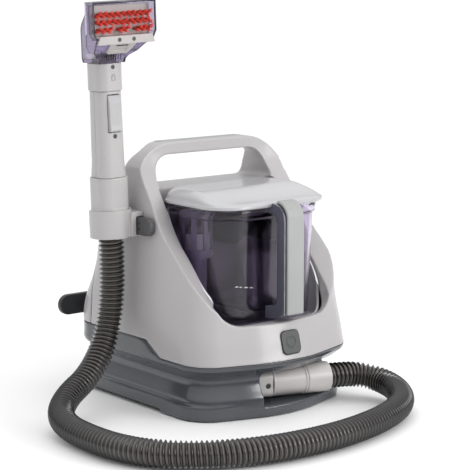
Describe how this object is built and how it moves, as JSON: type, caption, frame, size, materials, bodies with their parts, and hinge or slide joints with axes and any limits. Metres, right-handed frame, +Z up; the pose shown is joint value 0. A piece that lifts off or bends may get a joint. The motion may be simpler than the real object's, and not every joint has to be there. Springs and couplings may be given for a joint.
{
  "type": "portable carpet cleaner",
  "caption": "Portable carpet and upholstery spot cleaner: smoked lift-off water jug in a moulded body with a carry handle, and a trigger wand with a bristle head on a corrugated hose.",
  "frame": {"origin": "on the floor under the middle of the machine, in the plane of the foot ring", "axes": "+Z up, -Y to the front with the power button, +X to the right as seen from the front"},
  "size_m": [0.4763, 0.4945, 0.5344],
  "materials": {
    "shell_white": "fine satin",
    "handle_grey": "soft satin",
    "bay_grey": "satin",
    "base_slate": "semi-gloss",
    "under_black": "matte",
    "rubber_black": "matte",
    "steel": "machined",
    "motor_metal": "cast",
    "inner_grey": "matte",
    "fan_white": "matte",
    "foam_dark": "open foam",
    "grille_grey": "satin",
    "pump_black": "satin",
    "line_clear": "soft tube",
    "board_green": "satin",
    "hook_charcoal": "satin",
    "wand_white": "satin",
    "latch_grey": "satin",
    "port_white": "satin",
    "hose_brown": "corrugated, translucent",
    "button_grey": "satin",
    "jug_smoke": "clear smoke",
    "tank_smoke": "clear smoke",
    "handle_smoke": "satin",
    "strap_grey": "soft touch",
    "pipe_grey": "satin",
    "float_white": "satin",
    "lid_white": "satin",
    "inner_white": "satin",
    "trigger_grey": "satin",
    "head_smoke": "clear smoke",
    "frame_beige": "satin",
    "bristle_red": "nylon"
  },
  "bodies": {
    "machine": {"front_shell": "shell_white", "rear_shell": "shell_white", "handle_cover": "handle_grey", "tank_bay": "bay_grey", "base_tray": "base_slate", "base_plate": "under_black", "rubber_feet": "rubber_black", "base_screws": "steel", "motor_can": "motor_metal", "motor_mounts": "rubber_black", "motor_cradle": "inner_grey", "fan_housing": "inner_grey", "suction_duct": "inner_grey", "riser_duct": "inner_grey", "exhaust_filter": "foam_dark", "exhaust_grille": "grille_grey", "pump_body": "pump_black", "pump_foot": "rubber_black", "water_lines": "line_clear", "tank_coupling": "inner_grey", "power_switch": "inner_grey", "control_board": "board_green", "cord_inlet": "rubber_black", "cord_hooks": "hook_charcoal", "wand_holder": "wand_white", "case_screws": "steel", "latch_pin": "steel", "hose_port": "port_white", "hose_cuff": "port_white", "hose": "hose_brown"},
    "fan": {"fan_wheel": "fan_white", "fan_shaft": "steel"},
    "power_button": {"power_button": "button_grey"},
    "jug": {"jug_body": "jug_smoke", "inner_tank": "tank_smoke", "jug_handle_frame": "handle_smoke", "jug_handle_strap": "strap_grey", "standpipe": "pipe_grey", "float_cage": "pipe_grey", "outlet_valve": "pipe_grey"},
    "lid": {"lid": "lid_white", "lid_gasket": "rubber_black"},
    "float": {"float": "float_white"},
    "wand": {"wand_collar": "wand_white", "grip_front": "wand_white", "grip_back": "wand_white", "wand_neck": "wand_white", "wand_tube": "inner_white", "spray_valve": "inner_white", "trigger_pin": "steel", "trigger_spring": "steel", "wand_screws": "steel"},
    "trigger": {"trigger": "trigger_grey"},
    "valve_stem": {"valve_stem": "inner_white"},
    "head": {"nozzle_window": "head_smoke", "brush_frame": "frame_beige", "bristles": "bristle_red", "head_screws": "steel"},
    "latch": {"holder_latch": "latch_grey"},
    "collar": {"hose_collar": "port_white"}
  },
  "joints": [
    {"name": "fan_spin", "type": "hinge", "parent": "machine", "child": "fan", "pos_m": [0, 0.061, 0.125], "axis": [0, 0, 1], "continuous": true},
    {"name": "power_press", "type": "slide", "parent": "machine", "child": "power_button", "axis": [0, 0.9613, -0.2756], "range_m": [0, 0.002], "stiffness_N_per_m": 800, "springref_m": -0.002},
    {"name": "jug_lift", "type": "slide", "parent": "machine", "child": "jug", "axis": [0, 0, 1], "range_m": [0, 0.12]},
    {"name": "lid_lift", "type": "slide", "parent": "jug", "child": "lid", "axis": [0, 0, 1], "range_m": [0, 0.03]},
    {"name": "float_rise", "type": "slide", "parent": "jug", "child": "float", "axis": [0, 0, 1], "range_m": [0, 0.02]},
    {"name": "wand_lift", "type": "slide", "parent": "machine", "child": "wand", "axis": [-0.0332, 0, 0.9995], "range_m": [0, 0.06]},
    {"name": "trigger_pull", "type": "hinge", "parent": "wand", "child": "trigger", "pos_m": [-0.149, 0.0085, 0.409], "axis": [0.9995, 0, 0.0332], "range_deg": [0, 5], "stiffness_Nm_per_rad": 3, "springref_deg": -2.86, "deforming": ["trigger_spring"]},
    {"name": "valve_push", "type": "slide", "parent": "wand", "child": "valve_stem", "axis": [0, 1, 0], "range_m": [0, 0.0015]},
    {"name": "head_lift", "type": "slide", "parent": "wand", "child": "head", "axis": [-0.0332, 0, 0.9995], "range_m": [0, 0.03]},
    {"name": "latch_press", "type": "hinge", "parent": "machine", "child": "latch", "pos_m": [-0.13, -0.0055, 0.2425], "axis": [0, 0, -1], "range_deg": [0, 12], "stiffness_Nm_per_rad": 0.5, "springref_deg": -5.73},
    {"name": "collar_twist", "type": "hinge", "parent": "machine", "child": "collar", "pos_m": [-0.008, -0.1185, 0.035], "axis": [0.9632, -0.2689, 0], "range_deg": [0, 40]}
  ],
  "couplings": [
    {"joint": "valve_push", "follows": "trigger_pull", "m_per_rad": 0.017}
  ]
}
